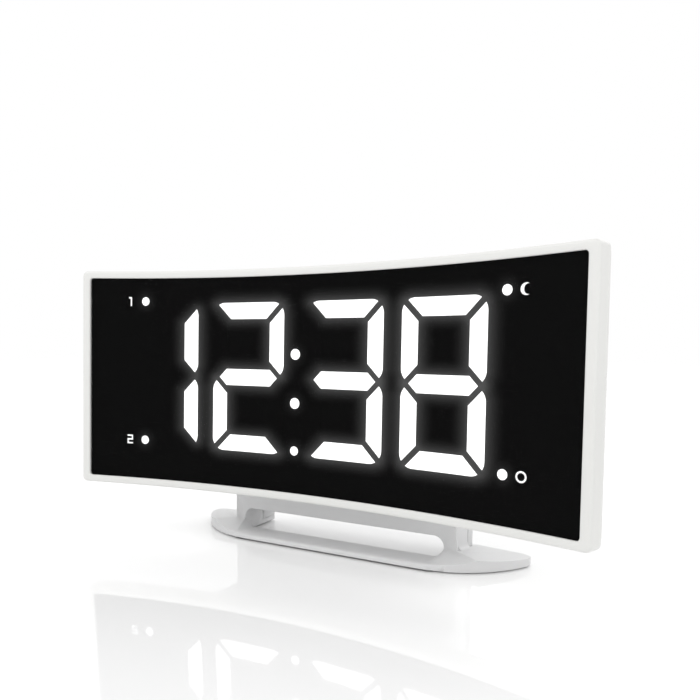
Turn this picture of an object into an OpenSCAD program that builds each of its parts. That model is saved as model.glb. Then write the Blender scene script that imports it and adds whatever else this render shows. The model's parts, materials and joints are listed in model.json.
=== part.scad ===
// Projection alarm clock: a curved display head on a low moulded stand, with a tilting projector.
// Millimetres. +Z is up, the display faces -Y, and the clock stands on z = 0.

/* [Display head] */
// Radius of the curved front, seen from above
curve_r = 300; // [260:5:400]
// Width of the black window, measured along its curve
window_w = 159.7; // [158:0.1:168]
// Height of the black window
window_h = 64.3; // [64:0.1:70]
// Height of the window's centre above the table
window_z = 52; // [51:0.1:56]
// Backward lean of the head, in degrees
head_lean = 2.1; // [0:0.1:4]
// Depth of the head from the front of the lens to its back
head_depth = 8; // [8:0.1:10]
// Width of the white frame above and below the window
frame_band = 2.4; // [2.2:0.1:4]
// Width of the white frame at each end
frame_end = 2.9; // [2.6:0.1:6]
// Thickness of the frame's lip in front of the lens
lip_t = 0.7; // [0.5:0.1:1.2]
// How far the lens reaches under the lip
lens_under = 1.1; // [0.8:0.1:1.3]
// Thickness of the smoked lens
lens_t = 1.5; // [1.2:0.1:1.8]
// Thickness of the black mask behind the lens
mask_t = 0.3; // [0.2:0.05:0.5]
// Thickness of the display's circuit board
display_board_t = 0.8; // [0.6:0.1:1]
// Thickness of the head's back wall
cover_t = 2; // [1.6:0.1:2.4]
// Rounding of the head's long edges
edge_round = 0.9; // [0.5:0.1:1.2]
// Rounding of the head's four corners, seen from the front
corner_round = 1.3; // [1:0.1:2]
// Rounding of the window's four corners
window_round = 1; // [0.6:0.1:2]

/* [Digits] */
// Height of a digit
digit_h = 45.7; // [40:0.1:46.5]
// Width of a digit
digit_w = 25.2; // [23:0.1:26]
// Width of a lit segment
segment_w = 5; // [4:0.1:5.4]
// Gap between two neighbouring segments
segment_gap = 1.8; // [1.2:0.1:2.2]
// Rounding of a digit's outer corners
segment_round = 4; // [2:0.1:4.5]
// Distance between the centres of two neighbouring digits
digit_pitch = 30.8; // [29:0.1:31.5]
// Distance from the colon to the nearest digit
colon_space = 4; // [3:0.1:4.5]
// Place of the colon along the window, from its centre
colon_s = -6.1; // [-9:0.1:-4]
// Height of the digits' centre above the window's centre
digit_rise = 1.5; // [0:0.1:2.5]
// Radius of a round indicator
dot_r = 1.6; // [1.2:0.1:2]
// Distance from the last digit to the indicators on its right
dot_space = 4.9; // [3.5:0.1:7]

/* [Body] */
// Width of the housing and of the stand's pillars
body_w = 79; // [78:0.5:90]
// How far the housing's top lies below the head's top
body_drop = 1.6; // [1.2:0.1:4]
// Distance from the lens to the flat front of the stand
face_y = 15.3; // [13:0.1:16]
// Distance from the lens to the seam between the housing's halves
seam_y = 25.5; // [25:0.1:27]
// Depth of the rear half of the housing
rear_depth = 7; // [7:0.1:9]
// Thickness of the housing's walls
wall = 2; // [1.6:0.1:2.4]
// Rounding of the housing's rear corners
body_round = 3.5; // [2:0.1:4]
// Width of the shadow gap at the seam
seam_gap = 0.4; // [0.2:0.1:0.6]

/* [Stand] */
// Height of the rail's top at the slot
rail_h = 2.1; // [2:0.1:3]
// Height of the rail's upright front lip
lip_h = 1.8; // [1.4:0.1:2]
// Distance from the lens to the rail's front edge
rail_y = 7.4; // [6:0.1:9]
// How far the rail reaches back past the housing's front
rail_back = 0.8; // [0.4:0.1:2]
// Rounding of the gap between the rail and the feet, seen from above
gap_round = 4; // [2:0.5:6]
// Height of the slot through the stand
slot_h = 6.2; // [5.4:0.1:6.4]
// Width of the pillar at each end of the slot
pillar_w = 3.8; // [3:0.1:6]
// How far a foot reaches past its pillar
foot_reach = 18.2; // [14:0.1:22]
// Height of a foot at its tip
foot_tip_h = 2.5; // [2.2:0.1:3.2]
// Height of a foot beside its pillar
foot_root_h = 4.7; // [4:0.1:5]
// Radius of a foot's curved front edge, seen from above
foot_sweep = 31.5; // [29:0.5:36]
// Radius of a rubber pad
pad_r = 3; // [2:0.1:3.2]
// Thickness of a rubber pad
pad_t = 1.2; // [1:0.1:1.5]
// How far a rubber pad stands out of the stand
pad_proud = 0.4; // [0.3:0.1:0.6]

/* [Projector] */
// Radius of the tilting drum
drum_r = 8; // [7.5:0.1:8.2]
// Length of the drum
drum_w = 26; // [24:0.5:27]
// Distance from the drum's axis down from the housing's top
drum_drop = 7.7; // [7.4:0.1:8.5]
// Running gap between the drum and its bay
drum_gap = 0.5; // [0.4:0.1:0.7]
// Thickness of the drum's shell
drum_wall = 1.5; // [1.2:0.1:1.8]
// Radius of the drum's pivots
pivot_r = 3; // [2.5:0.1:3.5]
// Radius of the knurled focus ring
ring_r = 6; // [5.5:0.1:6.2]
// Height of the focus ring
ring_h = 2; // [1.6:0.1:2.4]
// Number of grooves round the focus ring
ring_grooves = 24; // [12:1:30]
// Outer radius of the collar that the focus ring turns on
collar_r = 4.3; // [4:0.1:4.6]
// Radius of the sliding lens barrel
barrel_r = 3.5; // [3.2:0.1:3.7]

/* [Keys] */
// Travel of every key
key_travel = 0.8; // [0.5:0.1:1]
// Gap round every key
key_gap = 0.25; // [0.2:0.05:0.4]
// Depth of a top key, front to back
top_key_d = 7.6; // [7:0.1:7.8]
// How far a top key stands out
top_key_proud = 1.1; // [1:0.1:1.1]
// Width of a rear key
rear_key_w = 7.8; // [7:0.1:8.4]
// Height of a rear key
rear_key_h = 5; // [4:0.1:6]
// How far a rear key stands out
rear_key_proud = 1; // [1:0.1:1.4]
// Distance from the housing's top down to the row of rear keys
rear_key_drop = 24.6; // [24:0.1:26]

/* [Sound and power] */
// Radius of the loudspeaker
speaker_r = 14; // [12:0.1:14.2]
// Height of the loudspeaker's centre above the table
speaker_z = 36; // [34:0.1:37]
// Width of a slot in the loudspeaker's grille
grille_slot = 1.4; // [1:0.1:1.6]
// Distance between two slots in the grille
grille_pitch = 2.9; // [2.6:0.1:3.4]
// Diameter of the back-up coin cell
cell_d = 20; // [19:0.5:20.5]
// Thickness of the back-up coin cell
cell_t = 3.2; // [2.5:0.1:3.4]
// Distance from the housing's side to the middle of the power and charging sockets
socket_in = 14.5; // [13.5:0.1:16]
// Height of the charging socket above the table
usb_z = 45; // [44:0.1:46]
// Height of the power inlet above the table
inlet_z = 27; // [25:0.1:28]

/* [Hidden] */
$fn = 96;

// Small clearances
seat = 0.05;      // between flat parts that rest on each other
slip = 0.1;       // between a part and the pocket that it drops into
run = 0.06;       // between a pivot and its bearing
over = 1;         // how far a cutter passes the face that it cuts

// Radii of the head's layers, from the curve's axis
r_lip = curve_r - lip_t;
r_lens = curve_r;
r_mask = r_lens + lens_t + seat;
r_block = r_mask + mask_t + seat;
r_back = curve_r + head_depth;
r_cover = r_back - cover_t;
r_board = r_cover - slip - display_board_t;
half_s = window_w / 2 + frame_end;
half_h = window_h / 2 + frame_band;
pocket_s = window_w / 2 + lens_under;
pocket_h = window_h / 2 + lens_under;
block_rim = 1.2;
cover_rim_t = 0.8;

// The clock's depth is centred on y = 0: its front is the frame's foot at either end and its
// back is the row of rear keys
end_angle = half_s / curve_r * 180 / PI;
corner_y = curve_r - (r_lip + edge_round) * cos(end_angle) - edge_round * sin(end_angle);
front_reach = corner_y * cos(head_lean) + (half_h - edge_round) * sin(head_lean) + edge_round;
back_reach = seam_y + rear_depth + rear_key_proud;
lens_y = (front_reach - back_reach) / 2;

// Places of the stand and the housing, front to back
y_rail = lens_y + rail_y;
y_face = lens_y + face_y;
y_seam = lens_y + seam_y;
y_back = y_seam + rear_depth;
half_w = body_w / 2;
slot_w = body_w - 2 * pillar_w;
foot_tip = half_w + foot_reach;
slot_top = rail_h + slot_h;
floor_t = 2.5;
cavity_z = slot_top + floor_t;
x_in = half_w - wall;
y_end = y_seam - seam_gap / 2;
y_rear = y_seam + seam_gap / 2;
body_top = window_z + half_h * cos(head_lean) - body_drop;
cavity_top = body_top - wall;
head_foot = window_z - half_h * cos(head_lean);

// Main board
board_t = 1.6;
board_behind = 7.9;
board_side = 1.2;
board_over = 10.6;
board_under = 21.2;
board_hole_in = 3.2;
board_y = y_seam - board_behind;
board_w = body_w - 2 * wall - 2 * board_side;
board_z0 = cavity_z + board_over;
board_z1 = body_top - board_under;
board_hole_x = board_w / 2 - board_hole_in;
board_post_r = 2.6;

// Housing screws
post_r = 2.9;
screw_r = 1.25;
screw_head_r = 2.4;
screw_head_t = 1.2;
thread = 0.05;
post_in = 6.4;
post_up = 6;
post_down = 16.5;
post_x = half_w - post_in;
post_z = [cavity_z + post_up, body_top - post_down];

// Head screws, in the head's own frame; their bosses end behind the light guides
screw_apart = 6.1;
screw_up = 7.6;
screw_down = 7;
head_screw_s = board_hole_x - screw_apart;
head_screw_z = [-half_h + screw_up, half_h - screw_down];
head_boss_r = 2.1;
guide_t = 1.3;
boss_front = r_mask - curve_r + guide_t + slip;

// Digits, along the window
digit_s = [colon_s - colon_space - digit_w / 2 - digit_pitch,
           colon_s - colon_space - digit_w / 2,
           colon_s + colon_space + digit_w / 2,
           colon_s + colon_space + digit_w / 2 + digit_pitch];
// Segments a to g that each digit has, 0 to 6; the first can only show a 1
all_segments = [0, 1, 2, 3, 4, 5, 6];
made = [[1, 2], all_segments, all_segments, all_segments];
// Segments that are lit, for 12:38
lit = [[1, 2], [0, 1, 6, 4, 3], [0, 1, 6, 2, 3], [0, 1, 2, 3, 4, 5, 6]];
colon_z = [digit_rise + 7.3, digit_rise - 7.2];
// Indicators: [along the window, above its centre]
dot_before = 7;
dot_down = 7;
dot_up = 12.3;
dot_left = digit_s[0] - dot_before;
dot_right = digit_s[3] + digit_w / 2 + dot_space;
dot_high = window_h / 2 - dot_down;
dot_low = -window_h / 2 + dot_up;
indicators = [[dot_left, dot_high], [dot_left, dot_low], [dot_right, dot_high],
              [dot_right, dot_low], [colon_s, dot_low]];
led_long = 2.8;
led_short = 1.6;
led_t = 0.7;
well_gap = 0.05;

// Projector
drum_z = body_top - drum_drop;
bay_r = drum_r + drum_gap;
bay_half = drum_w / 2 + 0.4;
bay_wall = 1.5;
bay_front = bay_r + 0.9;
pivot_l = 2;
collar_top = drum_r + ring_h - 0.3;
ring_lift = 0.15;
barrel_top = collar_top + 0.2;
barrel_l = 4.4;
glass_t = 1.6;

// Keys
flange = 0.8;
flange_t = 1;
top_key_y = y_seam - seam_gap / 2 - 1.3 - top_key_d / 2;
key_board_t = 1.2;
switch_size = 4;
switch_t = 1.5;
stem_r = 1.3;
top_inner = bay_half + bay_wall + 2;
top_outer = half_w - wall - 1.9;
top_span = top_outer - top_inner;
short_key_w = (top_span - 2.6) / 2;
stem_l = 3;
top_board_z = cavity_top - seat - stem_l - key_travel - slip - switch_t - key_board_t;
rear_board_y = y_back - wall - seat - stem_l - key_travel - slip - switch_t - key_board_t;
key_board_half = 4;
key_post_r = 1.6;
key_post_gap = 0.3;
key_post_x = x_in - 3.2;
rear_key_z = body_top - rear_key_drop;
rear_key_end = key_post_x - key_post_r - key_post_gap - flange - rear_key_w / 2;
rear_keys_x = [for (i = [0 : 5]) (i / 2.5 - 1) * rear_key_end];
lip_w = 1;
lip_l = 2.4;

// Coin cell and its tray
tray_wall = 0.9;
tray_base = 0.8;
tray_h = cell_d + 2 * tray_wall + 2 * slip;
tray_t = cell_t + tray_base;
tray_l = cell_d + 3.6;
tray_y = board_y + board_t + 1;
tray_gap = 0.2;
holder_wall = 1.2;
tray_z = board_z0 + 3 + screw_head_r + 0.4 + holder_wall + tray_gap + tray_h / 2;

// Sockets
socket_x = half_w - socket_in;
usb_w = 13.1;
usb_h = 5.7;
usb_shell = 0.4;
inlet_w = 10;
inlet_h = 9;
inlet_r = 2.9;
inlet_l = 9.5;
socket_back = y_back - 0.4;

// Loudspeaker
speaker_rim = 1.2;
cone_depth = 3.4;
magnet_r = 8;
magnet_t = 3;

// ---------------------------------------------------------------------------------------------
// Shared shapes

// Flat shape in X and Z, given thickness from y0 to y1
module along_y(y0, y1) {
    translate([0, y1, 0]) rotate([90, 0, 0]) linear_extrude(y1 - y0) children();
}

// Flat shape in Y and Z, given length from x0 to x1
module along_x(x0, x1) {
    translate([x0, 0, 0]) rotate([90, 0, 90]) linear_extrude(x1 - x0) children();
}

// Box from its two corners
module block(low, high) {
    translate(low) cube(high - low);
}

// Rectangle from its two corners, with round corners
module round_rect(low, high, r) {
    translate([low[0] + r, low[1]]) square([high[0] - low[0] - 2 * r, high[1] - low[1]]);
    translate([low[0], low[1] + r]) square([high[0] - low[0], high[1] - low[1] - 2 * r]);
    for (x = [low[0] + r, high[0] - r], y = [low[1] + r, high[1] - r])
        translate([x, y]) circle(r);
}

// The head's own frame: origin at the middle of the lens, leaning back
module in_head() {
    translate([0, lens_y, window_z]) rotate([-head_lean, 0, 0]) children();
}

// A place along the window's curve, facing the curve's axis
module at_arc(s) {
    translate([0, -curve_r, 0]) rotate([0, 0, -s / curve_r * 180 / PI])
        translate([0, curve_r, 0]) children();
}

// Curved slab between two radii, s to each side and h up and down
module curved_slab(r0, r1, s, h) {
    angle = s / curve_r * 180 / PI;
    translate([0, -curve_r, 0]) rotate([0, 0, 90 - angle])
        rotate_extrude(angle = 2 * angle, $fn = 720) translate([r0, -h]) square([r1 - r0, 2 * h]);
}

// What a rounded edge of radius r takes off a square corner at the origin, along both axes
module corner_waste(r) {
    difference() {
        translate([-r, -r]) square(r + over);
        translate([-r, -r]) circle(r);
        translate([-2 * r, -r - over]) square([r, r + 3 * over]);
        translate([-r - over, -2 * r]) square([r + 3 * over, r]);
    }
}

// Head's outer form, with its edges and corners rounded
module head_form() {
    angle = half_s / curve_r * 180 / PI;
    difference() {
        translate([0, -curve_r, 0]) rotate([0, 0, 90 - angle])
            rotate_extrude(angle = 2 * angle, $fn = 720)
                round_rect([r_lip, -half_h], [r_back, half_h], edge_round);
        for (m = [0, 1]) mirror([m, 0, 0]) at_arc(half_s) {
            for (k = [0, 1]) mirror([0, 0, k]) translate([0, 0, half_h])
                along_y(-over - lip_t, head_depth + over) corner_waste(corner_round);
            translate([0, head_depth, -half_h - over])
                linear_extrude(2 * (half_h + over)) corner_waste(edge_round);
            translate([0, -lip_t, -half_h - over])
                linear_extrude(2 * (half_h + over)) mirror([0, 1]) corner_waste(edge_round);
        }
    }
}

// Segment i of a digit, 0 to 6 for a to g, round the digit's centre, grown by g on every side
module segment_2d(i, g = 0) {
    hw = digit_w / 2 + g;
    hh = digit_h / 2 + g;
    w = segment_w + 2 * g;
    mitre = (segment_gap - 2 * g) / sqrt(2);
    tip = digit_w / 2 - 1.3 * segment_gap + g * sqrt(2);
    heel = digit_w / 2 - g * sqrt(2);
    corner = segment_round + g;
    if (i == 0 || i == 3) mirror([0, i == 3 ? 1 : 0]) intersection() {
        polygon([[-hw + mitre, hh], [hw - mitre, hh], [hw - w - mitre, hh - w],
                 [-hw + w + mitre, hh - w]]);
        round_rect([-hw, -g], [hw, hh], corner);
    }
    if (i == 1 || i == 2 || i == 4 || i == 5)
        mirror([i > 3 ? 1 : 0, 0]) mirror([0, i == 2 || i == 4 ? 1 : 0]) intersection() {
            polygon([[hw, hh - mitre], [hw - w, hh - w - mitre], [hw - w, heel - hw + w],
                     [hw, heel - hw]]);
            round_rect([-hw, -g], [hw, hh], corner);
        }
    if (i == 6)
        polygon([[-tip + w / 2, w / 2], [tip - w / 2, w / 2], [tip, 0],
                 [tip - w / 2, -w / 2], [-tip + w / 2, -w / 2], [-tip, 0]]);
}

// Segments of one digit, as prisms right through the head
module segment_prisms(digit, list, g = 0) {
    at_arc(digit_s[digit]) translate([0, 0, digit_rise])
        along_y(-over, head_depth) for (i = list) segment_2d(i, g);
}

// Round indicators at a list of places, as prisms right through the head
module dot_prisms(places, r) {
    for (p = places) at_arc(p[0]) translate([0, 0, p[1]]) along_y(-over, head_depth) circle(r);
}

colon_places = [for (z = colon_z) [colon_s, z]];

// Light guides: what stands in the mask's windows, just behind the lens
module guide_layer() {
    in_head() intersection() {
        curved_slab(r_mask, r_mask + guide_t, pocket_s - 2, pocket_h - 2);
        children();
    }
}

// Everything the display lets light through
module light_wells() {
    for (d = [0 : 3]) segment_prisms(d, made[d], well_gap);
    dot_prisms(concat(colon_places, indicators), dot_r + well_gap);
}

// ---------------------------------------------------------------------------------------------
// Display head

module front_bezel() color([0.91, 0.91, 0.9]) in_head() difference() {
    head_form();
    curved_slab(r_lens, r_back + over, pocket_s, pocket_h);
    along_y(-curve_r * (1 - cos(end_angle)) - 2 * over, over)
        round_rect([-curve_r * sin(window_w / 2 / curve_r * 180 / PI), -window_h / 2],
                   [curve_r * sin(window_w / 2 / curve_r * 180 / PI), window_h / 2],
                   window_round);
}

module display_lens() color([0.1, 0.1, 0.11, 0.4]) in_head()
    curved_slab(r_lens, r_lens + lens_t, pocket_s - slip, pocket_h - slip);

module light_mask() color([0.03, 0.03, 0.03]) in_head() difference() {
    curved_slab(r_mask, r_mask + mask_t, pocket_s - slip, pocket_h - slip);
    light_wells();
}

module hour_tens_segments() color("white") guide_layer() segment_prisms(0, lit[0]);

module hour_units_segments() color("white") guide_layer() segment_prisms(1, lit[1]);

module minute_tens_segments() color("white") guide_layer() segment_prisms(2, lit[2]);

module minute_units_segments() color("white") guide_layer() segment_prisms(3, lit[3]);

module unlit_segments() color([0.16, 0.16, 0.17]) guide_layer()
    for (d = [0 : 3])
        segment_prisms(d, [for (i = made[d]) if (len(search(i, lit[d])) == 0) i]);

module colon_dots() color("white") guide_layer() dot_prisms(colon_places, dot_r);

module indicator_dots() color("white") guide_layer() dot_prisms(indicators, dot_r);

// White block whose wells carry the light forward, hollowed at the back of both ends
module reflector_block() color([0.93, 0.93, 0.9]) in_head() difference() {
    curved_slab(r_block, r_board - seat, pocket_s - slip - block_rim, pocket_h - slip - block_rim);
    light_wells();
    for (m = [0, 1]) mirror([m, 0, 0]) {
        at_arc(pocket_s - block_rim - 7.5) along_y(r_block - curve_r + block_rim, head_depth)
            translate([-4.5, -dot_high + 1]) square([9, 2 * dot_high - 2]);
        for (z = head_screw_z) at_arc(head_screw_s) translate([0, 0, z])
            along_y(0, head_depth) circle(head_boss_r + 0.4);
    }
}

// Display board: shorter than the pocket, and a little higher than the upper indicators
board_short = 11;
board_past = 2.4;

module display_board() color([0.1, 0.35, 0.2]) in_head()
    difference() {
        curved_slab(r_board, r_board + display_board_t, pocket_s - board_short,
                    dot_high + board_past);
        for (m = [0, 1], z = head_screw_z) mirror([m, 0, 0]) at_arc(head_screw_s)
            translate([0, 0, z]) along_y(0, head_depth) circle(head_boss_r + 0.4);
    }

// Centres of the seven segments, round the digit's centre
segment_mid = [[0, digit_h / 2 - segment_w / 2], [digit_w / 2 - segment_w / 2, digit_h / 4],
               [digit_w / 2 - segment_w / 2, -digit_h / 4], [0, -digit_h / 2 + segment_w / 2],
               [-digit_w / 2 + segment_w / 2, -digit_h / 4],
               [-digit_w / 2 + segment_w / 2, digit_h / 4], [0, 0]];

module led(s, z, w, h) {
    at_arc(s) translate([-w / 2, r_board - curve_r - led_t - seat / 2, z - h / 2])
        cube([w, led_t, h]);
}

module segment_leds() color([0.95, 0.9, 0.6]) in_head() {
    for (d = [0 : 3]) for (i = made[d]) {
        level = i == 0 || i == 3 || i == 6;
        led(digit_s[d] + segment_mid[i][0], digit_rise + segment_mid[i][1],
            level ? led_long : led_short, level ? led_short : led_long);
    }
    for (p = concat(colon_places, indicators)) led(p[0], p[1], led_short, led_short);
}

// Back of the head: a curved plate inside the frame, with a rim that holds the block forward
module rear_cover() color([0.89, 0.89, 0.88]) in_head() difference() {
    union() {
        difference() {
            curved_slab(r_block + seat, r_back, pocket_s - slip, pocket_h - slip);
            curved_slab(r_block - over, r_cover, pocket_s - slip - cover_rim_t,
                        pocket_h - slip - cover_rim_t);
        }
        for (m = [0, 1], z = head_screw_z) mirror([m, 0, 0]) at_arc(head_screw_s)
            translate([0, 0, z])
                along_y(boss_front, r_cover - curve_r + 0.4) circle(head_boss_r);
    }
    for (m = [0, 1], z = head_screw_z) mirror([m, 0, 0]) at_arc(head_screw_s)
        translate([0, 0, z])
            along_y(boss_front + 0.8, head_depth + over) circle(screw_r - thread);
    header_way();
}

// Way from the display board back to the main board, for the header
header_pins = 8;
header_pitch = 2.54;
header_w = header_pins * header_pitch;
header_z = 8.5;
header_t = 2.5;

module header_way() {
    translate([-header_w / 2 - 1.5, 0, header_z - 3]) cube([header_w + 3, head_depth * 2, 6]);
}

module board_header() color([0.15, 0.15, 0.16]) {
    front = lens_y + r_board + display_board_t - curve_r + slip
            + (header_z + header_t / 2) * sin(head_lean);
    translate([0, 0, window_z + header_z]) {
        block([-header_w / 2, front, -header_t / 2], [header_w / 2, front + header_t, header_t / 2]);
        for (i = [0 : header_pins - 1])
            translate([(i - (header_pins - 1) / 2) * header_pitch, 0, 0])
                along_y(front + header_t - over, board_y - seat) square(0.64, center = true);
    }
}

// ---------------------------------------------------------------------------------------------
// Stand and housing

// Slot right through the stand, with round ends
module slot_cut(y0, y1) {
    along_y(y0, y1) round_rect([-slot_w / 2, rail_h], [slot_w / 2, slot_top], slot_h / 2 - 0.01);
}

// Where the head sits in front of the housing, as a cutter
module head_seat(r) {
    in_head() translate([0, -curve_r, -window_h]) cylinder(r = r, h = 2 * window_h, $fn = 720);
}

// Rail and two feet: the outline from above, cut to the side view, which rises to the housing's
// front and falls behind it, and to the front view, which falls from the pillars to the tips
module foot() {
    sweep_x = foot_tip - 28.4 / 31.5 * foot_sweep;
    tip_fall = (foot_root_h - foot_tip_h) / foot_reach;
    intersection() {
        translate([0, 0, pad_proud]) linear_extrude(foot_root_h) intersection() {
            union() {
                translate([-sweep_x, y_rail]) square([2 * sweep_x, y_back - y_rail]);
                for (m = [0, 1]) mirror([m, 0]) translate([sweep_x, y_rail + foot_sweep])
                    circle(foot_sweep, $fn = 240);
            }
            polygon([[-foot_tip, y_rail], [foot_tip, y_rail], [foot_tip, y_back - 4.6],
                     [half_w, y_back], [-half_w, y_back], [-foot_tip, y_back - 4.6]]);
        }
        along_x(-foot_tip - over, foot_tip + over)
            polygon([[y_rail, 0], [y_rail, lip_h], [y_face, foot_root_h],
                     [y_back + over, foot_top(y_back + over)], [y_back + over, 0]]);
        along_y(y_rail - over, y_back + 2 * over)
            polygon([[-foot_tip - over, 0], [-foot_tip - over, foot_tip_h - tip_fall * over],
                     [0, foot_root_h + tip_fall * half_w],
                     [foot_tip + over, foot_tip_h - tip_fall * over], [foot_tip + over, 0]]);
    }
}

// Height of a foot's falling top beside its pillar
foot_fall = (foot_root_h - rail_h) / (y_back + over - y_face);
function foot_top(y) = rail_h + foot_fall * (y_back + over - y);

// Small fillet between a foot and its pillar, along the foot's falling top
module foot_fillet() {
    r = 1.5;
    translate([0, y_face, foot_top(y_face)]) rotate([-atan(foot_fall), 0, 0])
        along_y(2, y_end - y_face) difference() {
            translate([half_w - 0.3, -0.6]) square([r + 0.3, r + 0.6]);
            translate([half_w + r, r]) circle(r);
        }
}

// Gap between the feet, behind the rail
module foot_gap() {
    translate([0, 0, -over]) linear_extrude(rail_h + slot_h / 2 + over)
        round_rect([-slot_w / 2, y_face + rail_back], [slot_w / 2, y_back + gap_round + over],
                   gap_round);
}

// Bay of the projector drum, in Y and Z; grow widens it to its outer wall
module bay_2d(grow) {
    translate([y_seam, drum_z]) circle(bay_r + grow);
    translate([y_seam - bay_front - grow, drum_z])
        square([rear_depth + over + bay_front + grow + bay_r, drum_drop + over]);
}

// Pillar of plastic for a screw, along Y
module post(x, z, y0, y1, r) {
    translate([x, 0, z]) along_y(y0, y1) circle(r);
}

module at_posts() {
    for (x = [-post_x, post_x], z = post_z) translate([x, 0, z]) children();
}

module at_board_holes() {
    for (x = [-board_hole_x, board_hole_x], z = [board_z0 + 3, board_z1 - 3])
        translate([x, 0, z]) children();
}

// Front half of the housing in one moulding with the rail and feet
module front_housing() color([0.8, 0.8, 0.8]) {
    front = lens_y;
    difference() {
        union() {
            foot();
            for (m = [0, 1]) mirror([m, 0, 0]) foot_fillet();
            difference() {
                union() {
                    block([-half_w, y_face, rail_h - 0.6], [half_w, y_end, body_top]);
                    block([-half_w, front, head_foot + 0.6], [half_w, y_face + 1, body_top]);
                }
                difference() {
                    block([-x_in, front, cavity_z], [x_in, y_end + over, cavity_top]);
                    head_seat(r_back + slip + wall);
                    block([-half_w, front - over, 0], [half_w, y_face + wall, head_foot + 0.6 + wall]);
                }
            }
            // walls round the projector's bay
            intersection() {
                along_x(-bay_half - bay_wall, bay_half + bay_wall) bay_2d(bay_wall);
                block([-half_w, front, 0], [half_w, y_end, body_top]);
            }
            // posts for the housing screws, the main board and the top keys' boards
            for (x = [-post_x, post_x]) {
                post(x, post_z[0], y_face + wall / 2, y_end, post_r);
                post(x, post_z[1], front, y_end, post_r);
            }
            at_board_holes() along_y(front, board_y - seat) circle(board_post_r);
            for (m = [0, 1]) mirror([m, 0, 0])
                block([top_inner - 1, front, top_board_z - 2.4],
                      [half_w - 1, top_key_y - top_key_d / 2 + 2.5, top_board_z - seat]);
        }
        slot_cut(y_rail - over, y_back + over);
        foot_gap();
        head_seat(r_back + slip);
        along_x(-bay_half, bay_half) bay_2d(0);
        along_x(-bay_half - pivot_l - run, bay_half + pivot_l + run)
            translate([y_seam, drum_z]) circle(pivot_r + run);
        at_posts() along_y(y_end - 7, y_end + over) circle(screw_r);
        at_board_holes() along_y(board_y - 4.6, board_y + over) circle(screw_r - thread);
        block([-half_w - slip, y_seam, rail_h], [half_w + slip, y_back + over, rail_h + 4]);
        for (key = top_keys) top_key_way(key);
        tray_way();
        in_head() {
            header_way();
            for (m = [0, 1], z = head_screw_z) mirror([m, 0, 0]) at_arc(head_screw_s)
                translate([0, 0, z]) along_y(0, head_depth + wall + 2) circle(screw_r + 0.15);
        }
        pad_seats();
    }
}

// Outer form of the rear half, with its rear corners and top edge rounded
module rear_form() {
    intersection() {
        translate([0, 0, rail_h + slip]) linear_extrude(body_top - rail_h - slip) {
            translate([-half_w, y_rear]) square([body_w, y_back - y_rear - body_round]);
            translate([-half_w + body_round, y_rear])
                square([body_w - 2 * body_round, y_back - y_rear]);
            for (x = [-1, 1]) translate([x * (half_w - body_round), y_back - body_round])
                circle(body_round);
        }
        along_x(-half_w - over, half_w + over) difference() {
            translate([y_rear - over, 0]) square([rear_depth + over, body_top]);
            translate([y_back, body_top]) corner_waste(body_round);
        }
    }
}

// Lip that enters the front half, left out where the keys, the tray and the projector are
module rear_lip() {
    low = [x_in - slip, cavity_z + slip, cavity_top - slip];
    difference() {
        block([-low[0], y_rear - lip_l, low[1]], [low[0], y_rear + 1, low[2]]);
        block([-low[0] + lip_w, y_rear - lip_l - over, low[1] + lip_w],
              [low[0] - lip_w, y_rear + 2, low[2] - lip_w]);
        block([-top_inner - 2, y_rear - lip_l - over, drum_z],
              [top_inner + 2, y_rear, body_top]);
        for (m = [0, 1]) mirror([m, 0, 0])
            block([top_inner, y_rear - lip_l - over, top_board_z - 3],
                  [half_w, y_rear, cavity_top]);
        block([-half_w - over, tray_y, tray_z - tray_h / 2 - 3],
              [-half_w + tray_l, y_rear, tray_z + tray_h / 2 + 3]);
    }
}

// Rear half of the housing, open towards the front, with the grille and every opening
module rear_housing() color([0.79, 0.79, 0.8]) difference() {
    union() {
        difference() {
            rear_form();
            block([-x_in, y_rear - over, cavity_z], [x_in, y_back - wall, cavity_top]);
        }
        rear_lip();
        intersection() {
            along_x(-bay_half - bay_wall, bay_half + bay_wall) bay_2d(bay_wall);
            rear_form();
        }
        at_posts() along_y(y_rear, y_back - 1) circle(post_r);
        // posts that carry the rear keys' board
        for (x = [-1, 1]) post(x * key_post_x, rear_key_z, rear_board_y + key_board_t + seat,
                               y_back - 1, key_post_r);
        // collar round the loudspeaker
        translate([0, 0, speaker_z]) along_y(y_back - wall - 2.2, y_back - 1) difference() {
            circle(speaker_r + 1.2);
            circle(speaker_r + slip);
        }
    }
    slot_cut(y_rear - over, y_back + over);
    foot_gap();
    along_x(-bay_half, bay_half) bay_2d(0);
    along_x(-bay_half - pivot_l - run, bay_half + pivot_l + run)
        translate([y_seam, drum_z]) circle(pivot_r + run);
    at_posts() {
        along_y(y_rear - over, y_back + over) circle(screw_r + 0.2);
        along_y(y_back - screw_head_t - 1, y_back + over) circle(screw_head_r + 0.3);
    }
    for (x = rear_keys_x) translate([x, 0, rear_key_z]) along_y(y_back - wall - over, y_back + over)
        round_rect([-rear_key_w / 2 - key_gap, -rear_key_h / 2 - key_gap],
                   [rear_key_w / 2 + key_gap, rear_key_h / 2 + key_gap], rear_key_h / 2 - 0.3);
    grille_cut();
    translate([socket_x, 0, usb_z]) along_y(y_back - wall - over, y_back + over)
        square([usb_w + 2 * slip, usb_h + 2 * slip], center = true);
    translate([socket_x, 0, inlet_z]) along_y(y_back - wall - over, y_back + over)
        square([inlet_w + 2 * slip, inlet_h + 2 * slip], center = true);
}

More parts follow.
